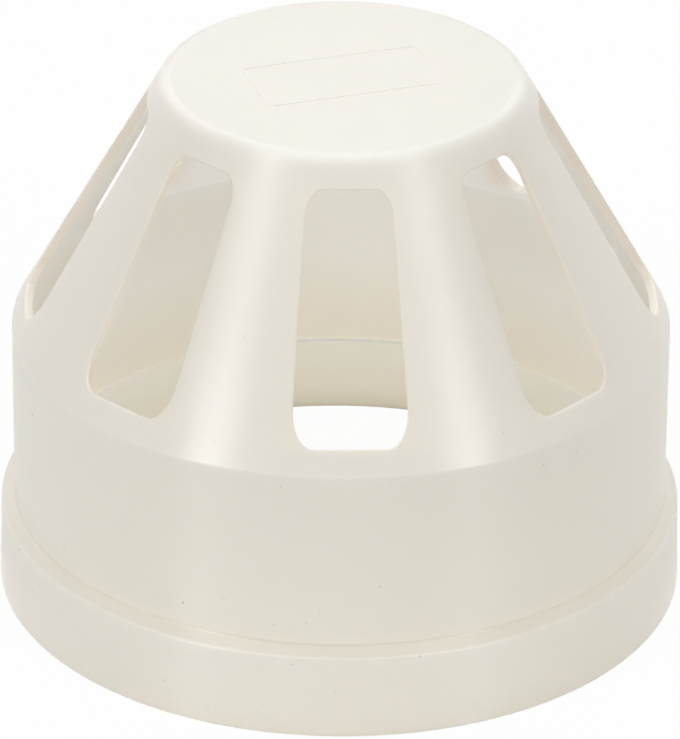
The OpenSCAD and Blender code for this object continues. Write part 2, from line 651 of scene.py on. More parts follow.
    def build_discs(self) -> bpy.types.Object:
        """Draw the flat top with the bare panel's fine outline, and the flat ceiling inside.

        Returns:
            The two discs as an object.
        """
        self.points, self.faces = [], []
        s = self.sizes
        count = self.sector_columns * s.slot_count
        turns = self._turns(count, 2 * math.pi)[:-1]
        top_r, top_z = self.outer_profile()[1][-1]
        ceiling_r, ceiling_z = self.inner_profile()[1][-1]
        rings = [self._ring((top_r * share, top_z), turns) for share in (1.0, self.top_ring_share)]
        for share, sink in self.groove:
            z = s.total_h - s.line_depth * sink
            rings.append(self._panel_loop(s.line_w * share, z, 1.0, count))
        for scale in self.panel_ring_shares:
            rings.append(self._panel_loop(s.line_w, s.total_h, scale, count))
        self._bridge_all(rings, closed=True)
        self._close(rings[-1], Vector((0, 0, s.total_h)))
        inner = [
            self._ring((ceiling_r * scale, ceiling_z), turns) for scale in self.ceiling_ring_shares
        ]
        self._bridge_all(inner, closed=True)
        self._close(inner[-1], Vector((0, 0, s.ceiling_z)))
        return self._object("cap_discs")

    def _close(self, ring: Sequence[int], centre: Vector) -> None:
        """Close a ring with triangles to its centre.

        Args:
            ring: The ring's point numbers.
            centre: The centre, in mm.
        """
        middle = self._row([centre])[0]
        count = len(ring)
        self.faces.extend((ring[i], ring[(i + 1) % count], middle) for i in range(count))

    def _panel_loop(self, inset: float, z: float, scale: float, count: int) -> list[int]:
        """Add the bare panel's outline, with most of its points in the corners.

        Args:
            inset: How far the loop lies inside the panel's outline.
            z: The loop's height.
            scale: Share that the loop is shrunk to, about the centre.
            count: How many points the loop has.

        Returns:
            The numbers of the loop's points, in the order of the rings round it.
        """
        s = self.sizes
        half_l, half_w, r = s.panel_l / 2 - inset, s.panel_w / 2 - inset, s.panel_r - inset
        arc = self.panel_corner_points
        long_side = (count - 4 * arc) // 3
        short_side = (count - 4 * arc - 2 * long_side) // 2
        loop: list[Point2] = []
        corners = ((1, 1, 0), (-1, 1, 90), (-1, -1, 180), (1, -1, 270))
        for index, (sx, sy, start) in enumerate(corners):
            cx, cy = sx * (half_l - r), sy * (half_w - r)
            for k in range(arc):
                t = math.radians(start + 90 * k / (arc - 1))
                loop.append((cx + r * math.cos(t), cy + r * math.sin(t)))
            nx, ny, _ = corners[(index + 1) % 4]
            t = math.radians(start + 90)
            a = (cx + r * math.cos(t), cy + r * math.sin(t))
            b = (nx * (half_l - r) + r * math.cos(t), ny * (half_w - r) + r * math.sin(t))
            side = long_side if index % 2 == 0 else short_side
            loop += [
                (a[0] + (b[0] - a[0]) * k / (side + 1), a[1] + (b[1] - a[1]) * k / (side + 1))
                for k in range(1, side + 1)
            ]
        turned = Matrix.Rotation(math.radians(s.panel_turn), 2)
        spots = [turned @ Vector(p) * scale for p in loop]
        off = [abs(math.atan2(spot.x, -spot.y) + math.pi) for spot in spots]
        first = off.index(min(off))
        return self._row(Vector((p.x, p.y, z)) for p in spots[first:] + spots[:first])

    def _object(self, name: str) -> bpy.types.Object:
        """Make a linked object from the collected points and faces.

        Args:
            name: The object's name.

        Returns:
            The object, in metres.
        """
        mesh = bpy.data.meshes.new(name)
        mesh.from_pydata([p * MM for p in self.points], [], self.faces)
        mesh.validate()
        thing = bpy.data.objects.new(name, mesh)
        bpy.context.scene.collection.objects.link(thing)
        return thing

    def repeat_tree(self) -> Tree:
        """Build the Geometry Nodes tree that repeats the sector and welds it to the discs.

        Returns:
            The node tree.
        """
        tree = bpy.data.node_groups.new("sectors_round_the_axis", "GeometryNodeTree")
        face = tree.interface
        for name, kind in (
            ("Sector", "Geometry"),
            ("Count", "Int"),
            ("Discs", "Object"),
            ("Weld", "Float"),
            ("Finish", "Material"),
        ):
            face.new_socket(name, in_out="INPUT", socket_type=f"NodeSocket{kind}")
        face.new_socket("Moulding", in_out="OUTPUT", socket_type="NodeSocketGeometry")
        given = add_node(tree, "NodeGroupInput").outputs
        spots = add_node(tree, "GeometryNodePoints", {"Count": given["Count"]})
        step = add_node(tree, MATH, {0: 2 * math.pi, 1: given["Count"]}, operation="DIVIDE")
        number = add_node(tree, "GeometryNodeInputIndex")
        turn = add_node(tree, MATH, {0: number, 1: step}, operation="MULTIPLY")
        turned = add_node(tree, JOIN, {"Z": turn})
        placed = add_node(
            tree,
            "GeometryNodeInstanceOnPoints",
            {"Points": spots, "Instance": given["Sector"], "Rotation": turned},
        )
        real = add_node(tree, "GeometryNodeRealizeInstances", {"Geometry": placed})
        discs = add_node(tree, "GeometryNodeObjectInfo", {"Object": given["Discs"]})
        joined = add_node(tree, "GeometryNodeJoinGeometry", {"Geometry": real})
        tree.links.new(discs.outputs["Geometry"], joined.inputs["Geometry"])
        welded = add_node(
            tree, "GeometryNodeMergeByDistance", {"Geometry": joined, "Distance": given["Weld"]}
        )
        smooth = add_node(tree, "GeometryNodeSetShadeSmooth", {"Geometry": welded})
        dressed = add_node(
            tree, "GeometryNodeSetMaterial", {"Geometry": smooth, "Material": given["Finish"]}
        )
        add_node(tree, "NodeGroupOutput", {"Moulding": dressed})
        return tree

    def build(self, finish: bpy.types.Material) -> bpy.types.Object:
        """Make the moulding and put it in place of the CAD solid.

        Args:
            finish: The moulding's material.

        Returns:
            The finished piece.
        """
        sector, discs = self.build_sector(), self.build_discs()
        tree = self.repeat_tree()
        repeat = sector.modifiers.new("repeat", "NODES")
        repeat.node_group = tree
        keys = {i.name: i.identifier for i in tree.interface.items_tree if i.in_out == "INPUT"}
        repeat[keys["Count"]] = self.sizes.slot_count
        repeat[keys["Discs"]] = discs
        repeat[keys["Weld"]] = self.weld_mm * MM
        repeat[keys["Finish"]] = finish
        mesh = self._evaluated(sector, "cap_moulding")
        self._face_outwards(mesh)
        piece = bpy.data.objects.new("cap_moulding", mesh)
        bpy.context.scene.collection.objects.link(piece)
        weighted = piece.modifiers.new("even_shading", "WEIGHTED_NORMAL")
        weighted.mode = "FACE_AREA_WITH_ANGLE"
        weighted.weight = self.shading_weight
        weighted.keep_sharp = True
        piece.data = self._evaluated(piece, "cap_moulding_mesh")
        piece.modifiers.clear()
        bpy.data.meshes.remove(mesh)
        for scrap in (sector, discs):
            bpy.data.objects.remove(scrap)
        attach(piece, "root")
        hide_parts("vent_cap")
        LOG.info("cap_moulding: %d faces", len(piece.data.polygons))
        return piece

    @staticmethod
    def _evaluated(thing: bpy.types.Object, name: str) -> bpy.types.Mesh:
        """Turn what an object's modifiers make into a plain mesh.

        Args:
            thing: The object with its modifiers.
            name: The new mesh's name.

        Returns:
            The plain mesh.
        """
        graph = bpy.context.evaluated_depsgraph_get()
        mesh = bpy.data.meshes.new_from_object(thing.evaluated_get(graph), depsgraph=graph)
        mesh.name = name
        return mesh

    @staticmethod
    def _face_outwards(mesh: bpy.types.Mesh) -> None:
        """Point every face of the closed moulding outwards and report any open edge.

        Args:
            mesh: The moulding's mesh.
        """
        work = bmesh.new()
        work.from_mesh(mesh)
        bmesh.ops.recalc_face_normals(work, faces=work.faces)
        loose = sum(1 for e in work.edges if not e.is_manifold)
        if loose:
            LOG.warning("cap_moulding has %d open edges", loose)
        work.to_mesh(mesh)
        work.free()


@dataclass(frozen=True)
class Surface:
    """What every layer of a finish reads: its node tree, the cap's sizes and the point's place."""

    tree: Tree
    sizes: CapSizes
    place: Socket
    x: Socket
    y: Socket
    z: Socket
    normal: Socket
    outside: Node

    @classmethod
    def begin(cls, tree: Tree, sizes: CapSizes) -> "Surface":
        """Read the point's place in object coordinates, and which way its face looks.

        Args:
            tree: The material's node tree.
            sizes: The cap's sizes.

        Returns:
            The surface, whose outside is 1 on the faces that look away from the cap's middle.
        """
        place = add_node(tree, "ShaderNodeTexCoord").outputs["Object"]
        x, y, z = add_node(tree, SPLIT, {0: place}).outputs
        normal = add_node(tree, "ShaderNodeNewGeometry").outputs["Normal"]
        look = add_node(tree, VECTOR_MATH, {0: place, 1: normal}, operation="DOT_PRODUCT")
        outside = add_node(tree, MATH, {0: look, 1: 0.0}, operation="GREATER_THAN")
        return cls(tree, sizes, place, x, y, z, normal, outside)


@dataclass(frozen=True)
class Speck:
    """One fleck in the skin, placed by azimuth from the front slot's middle and by height."""

    azimuth_deg: float
    height_mm: float
    radius_mm: float
    depth: float

    def spot(self, sizes: CapSizes) -> Vector:
        """Find the speck's place on the cap's outer face.

        Args:
            sizes: The cap's sizes.

        Returns:
            The place, in metres.
        """
        s, z = sizes, self.height_mm
        if z <= s.band_z:
            r = s.rim_r - s.band_draft * z / s.band_z
        elif z <= s.ledge_z:
            r = s.band_top_r - s.ledge_in * (z - s.band_z) / s.ledge_h
        else:
            r = s.wall_r - max(0.0, z - s.shoulder_z) * s.slope
        turn = math.radians(self.azimuth_deg)
        return Vector((r * math.sin(turn), -r * math.cos(turn), z)) * MM


@dataclass(frozen=True)
class Flecks:
    """Specks of grit and small nicks, 0.4 to 1.2 mm across, that break up the even skin.

    In front each has its own place. Round the back they are strewn.
    """

    colour: str = "#7A7366"
    seen: tuple[Speck, ...] = (
        Speck(-70.8, 13.5, 0.30, 0.55),
        Speck(-62.2, 11.3, 0.22, 0.35),
        Speck(-69.4, 39.0, 0.34, 0.45),
        Speck(-75.4, 25.3, 0.24, 0.40),
        Speck(-29.3, 19.8, 0.25, 0.50),
        Speck(-5.0, 21.9, 0.28, 0.12),
        Speck(-7.3, 19.7, 0.27, 0.24),
        Speck(-13.0, 18.8, 0.36, 0.14),
        Speck(-11.8, 44.2, 0.28, 0.15),
        Speck(-9.3, 13.0, 0.27, 0.24),
        Speck(-2.3, 8.4, 0.27, 0.12),
        Speck(-31.6, 5.8, 0.32, 0.18),
        Speck(-14.1, 5.1, 0.22, 0.14),
        Speck(-23.5, 2.9, 0.30, 0.12),
        Speck(5.1, 26.4, 0.38, 0.16),
        Speck(28.0, 50.0, 0.24, 0.24),
        Speck(42.5, 43.1, 0.26, 0.22),
        Speck(35.0, 43.2, 0.26, 0.32),
        Speck(27.1, 15.4, 0.27, 0.12),
        Speck(66.9, 13.5, 0.30, 0.12),
        Speck(11.6, 14.1, 0.28, 0.45),
        Speck(-22.3, 64.8, 0.27, 0.13),
        Speck(-26.2, 57.6, 0.22, 0.14),
        Speck(-24.1, 49.8, 0.22, 0.14),
        Speck(-59.5, 67.4, 0.27, 0.13),
        Speck(-57.5, 20.1, 0.60, 0.06),
        Speck(-21.6, 22.3, 0.60, 0.06),
    )
    core_share: float = 0.45
    strewn_mm: float = 16.0
    strewn_share: float = 0.5
    strewn_radius_mm: float = 0.3
    strewn_depth: float = 0.3
    front_deg: float = 78.0

    def over(self, skin: Surface, colour: Node) -> Node:
        """Lay the flecks over a colour.

        Args:
            skin: The surface.
            colour: The plain colour.

        Returns:
            The colour with the flecks.
        """
        tree, strewn = skin.tree, self._strewn(skin)
        depth = add_node(tree, MATH, {0: strewn, 1: skin.outside}, operation="MULTIPLY")
        for speck in self.seen:
            spot = speck.spot(skin.sizes)
            away = add_node(tree, VECTOR_MATH, {0: skin.place, 1: spot}, operation="DISTANCE")
            mark = add_node(
                tree,
                RANGE,
                {
                    "Value": away,
                    "From Min": speck.radius_mm * MM,
                    "From Max": speck.radius_mm * MM * self.core_share,
                    "To Max": speck.depth,
                },
            )
            depth = add_node(tree, MATH, {0: depth, 1: mark}, operation="MAXIMUM")
        tones = {"Factor": depth, "A": colour, "B": linear(self.colour)}
        return add_node(tree, MIX, tones, data_type="RGBA")

    def _strewn(self, skin: Surface) -> Node:
        """Strew flecks over the back, one to a cell of a sheet unrolled round the axis.

        Args:
            skin: The surface.

        Returns:
            Their depth.
        """
        tree, round_mm = skin.tree, skin.sizes.wall_r
        turn = add_node(tree, MATH, {0: skin.x, 1: skin.y}, operation="ARCTAN2")
        along = add_node(tree, MATH, {0: turn, 1: round_mm * MM}, operation="MULTIPLY")
        sheet = add_node(tree, JOIN, {"X": along, "Y": skin.z})
        cells = add_node(
            tree,
            "ShaderNodeTexVoronoi",
            {"Vector": sheet, "Scale": 1 / (self.strewn_mm * MM), "Randomness": 1.0},
            voronoi_dimensions="2D",
        )
        radius = self.strewn_radius_mm / self.strewn_mm
        mark = add_node(
            tree,
            RANGE,
            {
                "Value": cells.outputs["Distance"],
                "From Min": radius,
                "From Max": radius * self.core_share,
                "To Max": self.strewn_depth,
            },
        )
        draw = add_node(tree, "ShaderNodeSeparateColor", {0: cells.outputs["Color"]})
        kept = add_node(tree, MATH, {0: draw, 1: self.strewn_share}, operation="LESS_THAN")
        # Arctan of X over Y is 0 at the back, so a small turn lies behind the front's own specks
        wide = add_node(tree, MATH, {0: turn}, operation="ABSOLUTE")
        back = math.pi - math.radians(self.front_deg)
        behind = add_node(tree, MATH, {0: wide, 1: back}, operation="LESS_THAN")
        both = add_node(tree, MATH, {0: kept, 1: behind}, operation="MULTIPLY")
        return add_node(tree, MATH, {0: mark, 1: both}, operation="MULTIPLY")


@dataclass(frozen=True)
class PaintedCreaseShade:
    """Painted shade in grey: darker in the ledge's crease, a trace on the band, and in the panel's
    line.

    It paints the soft grey line of shade between band and wall, and the shade in the fine line's
    groove.
    """

    colour: str = "#868A86"
    ledge_share: float = 0.5
    side_share: float = 0.3
    band_share: float = 0.09
    # From where to where the ledge's painted shade thins out sideways, as shares of the wall's
    # radius
    side_span: Point2 = (0.3, 0.8)
    # The painted shade's middle above the band's top edge, and how far from it it ends and is full
    middle_mm: float = 0.82
    fade_mm: Point2 = (1.25, 0.4)
    line_share: float = 0.5
    line_end_share: float = 0.25
    # Shares of the panel's length and of the line's depth that hold the line and its full painted
    # shade
    line_reach: float = 0.6
    line_full: float = 0.6

    def over(self, skin: Surface, colour: Node) -> Node:
        """Paint the shade over a colour.

        Args:
            skin: The surface.
            colour: The colour without the painted shade.

        Returns:
            The colour with the painted shade.
        """
        for share in (self._on_ledge(skin), self._in_line(skin)):
            tones = {"Factor": share, "A": colour, "B": linear(self.colour)}
            colour = add_node(skin.tree, MIX, tones, data_type="RGBA")
        return colour

    def _on_ledge(self, skin: Surface) -> Node:
        """Paint shade in the ledge's crease, lighter at the sides, and a trace down the band.

        Args:
            skin: The surface.

        Returns:
            The share of painted shade.
        """
        tree, s = skin.tree, skin.sizes
        side = add_node(tree, MATH, {0: skin.x}, operation="ABSOLUTE")
        start, end = (s.wall_r * share * MM for share in self.side_span)
        shade_strength = add_node(
            tree,
            RANGE,
            {
                "Value": side,
                "From Min": start,
                "From Max": end,
                "To Min": self.ledge_share,
                "To Max": self.side_share,
            },
            interpolation_type="SMOOTHSTEP",
        )
        middle = (s.band_z + self.middle_mm) * MM
        above = add_node(tree, MATH, {0: skin.z, 1: middle}, operation="SUBTRACT")
        away = add_node(tree, MATH, {0: above}, operation="ABSOLUTE")
        none, full = (reach * MM for reach in self.fade_mm)
        # Painted shade: darker round the crease between band and wall
        painted_shade = add_node(
            tree,
            RANGE,
            {"Value": away, "From Min": none, "From Max": full, "To Max": shade_strength},
            interpolation_type="SMOOTHSTEP",
        )
        # Painted shade: a faint trace over the band below the crease
        band = add_node(tree, MATH, {0: skin.z, 1: middle}, operation="LESS_THAN")
        trace = add_node(tree, MATH, {0: band, 1: self.band_share}, operation="MULTIPLY")
        both = add_node(tree, MATH, {0: painted_shade, 1: trace}, operation="MAXIMUM")
        return add_node(tree, MATH, {0: both, 1: skin.outside}, operation="MULTIPLY")

    def _in_line(self, skin: Surface) -> Node:
        """Paint shade in the line round the panel, less of it at the panel's ends.

        Args:
            skin: The surface.

        Returns:
            The share of painted shade.
        """
        tree, s = skin.tree, skin.sizes
        level = add_node(tree, JOIN, {0: skin.x, 1: skin.y})
        reach = add_node(tree, VECTOR_MATH, {0: level}, operation="LENGTH")
        widest, lowest = s.panel_l * self.line_reach, s.total_h - s.line_depth * 2
        near = add_node(tree, MATH, {0: reach, 1: widest * MM}, operation="LESS_THAN")
        high = add_node(tree, MATH, {0: skin.z, 1: lowest * MM}, operation="GREATER_THAN")
        # Painted shade: darker where the line sinks deepest
        sunk = add_node(
            tree,
            RANGE,
            {
                "Value": skin.z,
                "From Min": s.total_h * MM,
                "From Max": (s.total_h - s.line_depth * self.line_full) * MM,
                "To Max": self.line_share,
            },
        )
        turned = add_node(
            tree,
            "ShaderNodeVectorRotate",
            {"Vector": skin.place, "Angle": -math.radians(s.panel_turn)},
            rotation_type="Z_AXIS",
        )
        lengthwise = add_node(tree, SPLIT, {0: turned}).outputs["X"]
        out = add_node(tree, MATH, {0: lengthwise}, operation="ABSOLUTE")
        ends = add_node(
            tree,
            RANGE,
            {
                "Value": out,
                "From Min": (s.panel_l / 2 - s.panel_r) * MM,
                "From Max": (s.panel_l / 2 - s.line_w * 2) * MM,
                "To Min": 1.0,
                "To Max": self.line_end_share,
            },
        )
        share = near
        for part in (high, ends, sunk):
            share = add_node(tree, MATH, {0: share, 1: part}, operation="MULTIPLY")
        return share


@dataclass(frozen=True)
class InsideLightAndShade:
    """The inside's painted light and shade: lighter ivory, under a yellow-grey darkening
    downwards.

    It makes the space behind the slots warmer and darker than the skin. The stop's slope is left
    out of the painted shade, so it is painted lighter below the stop's edge.
    """

    # Painted light: a lighter ivory on every face inside
    painted_light_ivory: str = "#F9F0E2"
    colour: str = "#A39A72"
    share: float = 0.52
    # Heights where the painted shade begins and where it is full
    span_mm: Point2 = (32.0, 6.0)
    # From where to where the painted shade comes back past the stop's edges
    stop_fade_mm: Point2 = (-0.2, 0.1)

    def over(self, skin: Surface, colour: Node) -> Node:
        """Paint the inside's light and shade over a colour.

        Args:
            skin: The surface.
            colour: The skin's own colour.

        Returns:
            The colour with the painted light and shade.
        """
        tree, s = skin.tree, skin.sizes
        inside = add_node(tree, MATH, {0: 1.0, 1: skin.outside}, operation="SUBTRACT")
        none, full = (height * MM for height in self.span_mm)
        limits = {"From Min": none, "From Max": full, "To Max": self.share}
        # Painted shade: darker towards the bottom inside
        painted_shade = add_node(tree, RANGE, {"Value": skin.z} | limits)
        # The stop's slope is kept out of the painted shade, so it is painted lighter there
        stop = (s.socket_depth + s.stop_rise / 2) * MM
        above = add_node(tree, MATH, {0: skin.z, 1: stop}, operation="SUBTRACT")
        away = add_node(tree, MATH, {0: above}, operation="ABSOLUTE")
        clear, covered = ((s.stop_rise / 2 + past) * MM for past in self.stop_fade_mm)
        off_stop = add_node(tree, RANGE, {"Value": away, "From Min": clear, "From Max": covered})
        left = add_node(tree, MATH, {0: painted_shade, 1: off_stop}, operation="MULTIPLY")
        painted_dark = add_node(tree, MATH, {0: left, 1: inside}, operation="MULTIPLY")
        for share, tone in ((inside, self.painted_light_ivory), (painted_dark, self.colour)):
            tones = {"Factor": share, "A": colour, "B": linear(tone)}
            colour = add_node(tree, MIX, tones, data_type="RGBA")
        return colour


@dataclass(frozen=True)
class Glow:
    """Light that soaks into the pale PVC and comes out nearby, which softens its shading.

    Less of it goes in at the rim and round the slots, where the wall ends.
    """

    share: float = 1.0
    edge_share: float = 0.3
    edge_mm: float = 4.5
    depth_mm: float = 15.0
    spread: tuple[float, float, float] = (1.0, 0.93, 0.82)
    # How much faster the glow comes back above and below a slot than beside it
    end_pace: float = 4.0

    def weight(self, skin: Surface) -> Node:
        """Work out the share of light that goes in, from the distance to the nearest edge.

        Args:
            skin: The surface.

        Returns:
            The share.
        """
        tree, s = skin.tree, skin.sizes
        ahead = add_node(tree, MATH, {0: skin.y, 1: -1.0}, operation="MULTIPLY")
        turn = add_node(tree, MATH, {0: skin.x, 1: ahead}, operation="ARCTAN2")
        fold = add_node(tree, MATH, {0: turn, 1: s.sector / 2}, operation="PINGPONG")
        swing = add_node(tree, MATH, {0: fold}, operation="SINE")
        rises = (s.slot_foot_gap / s.slope, s.cone_h - s.slot_top_gap / s.slope)
        foot, top = ((s.shoulder_z + rise) * MM for rise in rises)
        # The slot's radius and half its width, both at the foot and at the top
        radius, half = (
            add_node(
                tree,
                RANGE,
                {
                    "Value": skin.z,
                    "From Min": foot,
                    "From Max": top,
                    "To Min": at_foot * MM,
                    "To Max": at_top * MM,
                },
            )
            for at_foot, at_top in (
                (s.slot_foot_r, s.slot_top_r),
                (s.slot_foot_w / 2, s.slot_top_w / 2),
            )
        )
        aside = add_node(tree, MATH, {0: swing, 1: radius}, operation="MULTIPLY")
        beside = add_node(tree, MATH, {0: aside, 1: half}, operation="SUBTRACT")
        over = add_node(tree, MATH, {0: skin.z, 1: top}, operation="SUBTRACT")
        under = add_node(tree, MATH, {0: foot, 1: skin.z}, operation="SUBTRACT")
        ends = add_node(tree, MATH, {0: over, 1: under}, operation="MAXIMUM")
        apart = add_node(tree, MATH, {0: ends, 1: self.end_pace}, operation="MULTIPLY")
        slot = add_node(tree, MATH, {0: beside, 1: apart}, operation="MAXIMUM")
        near = add_node(tree, MATH, {0: slot, 1: skin.z}, operation="MINIMUM")
        limits = {
            "From Max": self.edge_mm * MM,
            "To Min": self.edge_share,
            "To Max": self.share,
        }
        return add_node(tree, RANGE, {"Value": near} | limits)


@dataclass(frozen=True)
class Sheen:
    """The satin gloss: finest at the cone's foot, duller towards the top, a little uneven.

    Handling has rubbed the rounded edges of the top and the shoulder smoother, so they catch
    brighter lines of light.
    """

    foot: float = 0.33
    top: float = 0.44
    rubbed: float = 0.22
    uneven: float = 0.02
    cloud_span: Point2 = (0.3, 0.7)
    # Depths below the flat top where the rubbing begins and is full, and where the flat ends
    brow_mm: Point2 = (0.8, 0.2)
    flat_mm: Point2 = (0.002, 0.03)
    brow_share: float = 0.55
    # Distances from the shoulder's height where the rubbing begins and is full
    shoulder_mm: Point2 = (1.0, 0.2)
    shoulder_share: float = 0.35

    def roughness(self, skin: Surface, cloud: Node) -> Node:
        """Work out the roughness.

        Args:
            skin: The surface.
            cloud: The skin's faint clouding, 0 to 1.

        Returns:
            The roughness.
        """
        tree, s = skin.tree, skin.sizes
        rise = add_node(
            tree,
            RANGE,
            {
                "Value": skin.z,
                "From Min": s.shoulder_z * MM,
                "From Max": s.total_h * MM,
                "To Min": self.foot,
                "To Max": self.top,
            },
        )
        low, high = self.cloud_span
        limits = {"From Min": low, "From Max": high, "To Min": -self.uneven, "To Max": self.uneven}
        uneven = add_node(tree, RANGE, {"Value": cloud} | limits)
        dull = add_node(tree, MATH, {0: rise, 1: uneven}, operation="ADD")
        below = add_node(tree, MATH, {0: s.total_h * MM, 1: skin.z}, operation="SUBTRACT")
        above = add_node(tree, MATH, {0: skin.z, 1: s.shoulder_z * MM}, operation="SUBTRACT")
        away = add_node(tree, MATH, {0: above}, operation="ABSOLUTE")
        edge, round_top, shoulder = (
            add_node(
                tree,
                RANGE,
                {"Value": value, "From Min": none * MM, "From Max": full * MM, "To Max": most},
            )
            for value, (none, full), most in (
                (below, self.brow_mm, self.brow_share),
                (below, self.flat_mm, 1.0),
                (away, self.shoulder_mm, self.shoulder_share),
            )
        )
        brow = add_node(tree, MATH, {0: edge, 1: round_top}, operation="MULTIPLY")
        worn = add_node(tree, MATH, {0: brow, 1: shoulder}, operation="MAXIMUM")
        return add_node(
            tree, MIX, {"Factor": worn, "A": dull, "B": self.rubbed}, data_type="FLOAT"
        )


@dataclass(frozen=True)
class RigidPvc:
    """Injection-moulded ivory rigid PVC, as drain fittings are made of.

    To the eye it is a warm white with faint clouding and a soft satin gloss. The mould was
    polished round its axis, which draws the lamps' reflections out into upright streaks. Low
    waves from shrinkage bend them a little, and a satin grain softens them.
    """

    sizes: CapSizes = CapSizes()
    # The first two layers paint light and shade into the colour: the inside's, and the crease's
    # and fine line's
    painted_shade: InsideLightAndShade = InsideLightAndShade()
    crease_shade: PaintedCreaseShade = PaintedCreaseShade()
    flecks: Flecks = Flecks()
    glow: Glow = Glow()
    sheen: Sheen = Sheen()
    ivory: str = "#F3ECDE"
    ivory_warm: str = "#F1EAD9"
    cloud_mm: float = 34.0
    cloud_detail: float = 2.0
    polish: float = 0.93
    polish_turn: float = 0.25
    # How upright a face looks where the polish starts to run straight, and where it all does
    flat_from: Point2 = (0.9, 0.99)
    ior: float = 1.54
    gloss: float = 0.8
    wave_mm: float = 22.0
    wave_depth_mm: float = 0.03
    # A real satin grain is about 0.1 mm, too fine to show, so it is drawn this coarse
    grain_mm: float = 0.9
    grain_depth_mm: float = 0.002

    def material(self) -> bpy.types.Material:
        """Build the material.

        Returns:
            The finished material.
        """
        made = bpy.data.materials.new("rigid_pvc_moulded_ivory")
        made.use_nodes = True
        tree = made.node_tree
        tree.nodes.clear()
        skin = Surface.begin(tree, self.sizes)
        scale = {"Scale": 1 / (self.cloud_mm * MM), "Detail": self.cloud_detail}
        cloud = add_node(tree, NOISE, {"Vector": skin.place} | scale)
        tones = {"Factor": cloud, "A": linear(self.ivory), "B": linear(self.ivory_warm)}
        colour = add_node(tree, MIX, tones, data_type="RGBA")
        # Painted light and shade of the inside and the crease go on first, then the real flecks
        for layer in (self.painted_shade, self.crease_shade, self.flecks):
            colour = layer.over(skin, colour)
        shader = add_node(
            tree,
            "ShaderNodeBsdfPrincipled",
            {
                "Base Color": colour,
                "Roughness": self.sheen.roughness(skin, cloud),
                "Anisotropic": self.polish,
                "Anisotropic Rotation": self.polish_turn,
                "Tangent": self._polish_lines(skin),
                "IOR": self.ior,
                "Specular IOR Level": self.gloss,
                "Subsurface Weight": self.glow.weight(skin),
                "Subsurface Radius": self.glow.spread,
                "Subsurface Scale": self.glow.depth_mm * MM,
                "Normal": self._relief(skin),
            },
        )
        add_node(tree, "ShaderNodeOutputMaterial", {"Surface": shader})
        return made

    def _polish_lines(self, skin: Surface) -> Node:
        """Lay the polish round the axis on the sides, and straight across on the flat top.

        Args:
            skin: The surface.

        Returns:
            The direction of the polish.
        """
        tree, low, high = skin.tree, *self.flat_from
        across = add_node(tree, VECTOR_MATH, {0: UP, 1: skin.place}, operation="CROSS_PRODUCT")
        even = add_node(tree, VECTOR_MATH, {0: across}, operation="NORMALIZE")
        upright = add_node(tree, SPLIT, {0: skin.normal}).outputs["Z"]
        flat = add_node(tree, RANGE, {"Value": upright, "From Min": low, "From Max": high})
        ways = {"Factor": flat, "A": even, "B": ACROSS}
        return add_node(tree, MIX, ways, data_type="VECTOR")

    def _relief(self, skin: Surface) -> Node:
        """Raise the long low waves from shrinkage, and the satin grain on them.

        Args:
            skin: The surface.

        Returns:
            The normal of the relief.
        """
        waves, grain = (
            add_node(
                skin.tree,
                NOISE,
                {"Vector": skin.place, "Scale": 1 / (size * MM), "Detail": 1.0},
            )
            for size in (self.wave_mm, self.grain_mm)
        )
        low = {"Height": waves, "Distance": self.wave_depth_mm * MM}
        fine = {"Height": grain, "Distance": self.grain_depth_mm * MM}
        waved = add_node(skin.tree, "ShaderNodeBump", low)
        return add_node(skin.tree, "ShaderNodeBump", fine | {"Normal": waved})


class LampShape(Enum):
    """The outline of a lamp's face."""

    BOX = "RECTANGLE"
    ROUND = "ELLIPSE"


@dataclass(frozen=True)
class Softbox:
    """One soft studio lamp, placed by its direction from the cap as the camera sees it."""

    name: str
    azimuth_deg: float
    elevation_deg: float
    distance_m: float
    width_m: float
    height_m: float
    radiance: float
    shape: LampShape = LampShape.BOX

    def build(self, aim: Vector, front_deg: float) -> bpy.types.Object:
        """Make the lamp.

        Args:
            aim: The point that the lamp faces.
            front_deg: Azimuth of the camera, which the lamp's own is counted from.

        Returns:
            The lamp's object.
        """
        lamp = bpy.data.lights.new(self.name, "AREA")
        lamp.shape = self.shape.value
        lamp.size, lamp.size_y = self.width_m, self.height_m
        fullness = math.pi / 4 if self.shape is LampShape.ROUND else 1.0
        area = self.width_m * self.height_m * fullness
        lamp.energy = self.radiance * math.pi * area
        thing = bpy.data.objects.new(self.name, lamp)
        bpy.context.scene.collection.objects.link(thing)
        az, el = math.radians(self.azimuth_deg + front_deg), math.radians(self.elevation_deg)
        way = Vector((math.sin(az) * math.cos(el), -math.cos(az) * math.cos(el), math.sin(el)))
        thing.location = aim + way * self.distance_m
        thing.rotation_euler = (-way).to_track_quat("-Z", "Y").to_euler()
        thing.visible_camera = False
        return thing


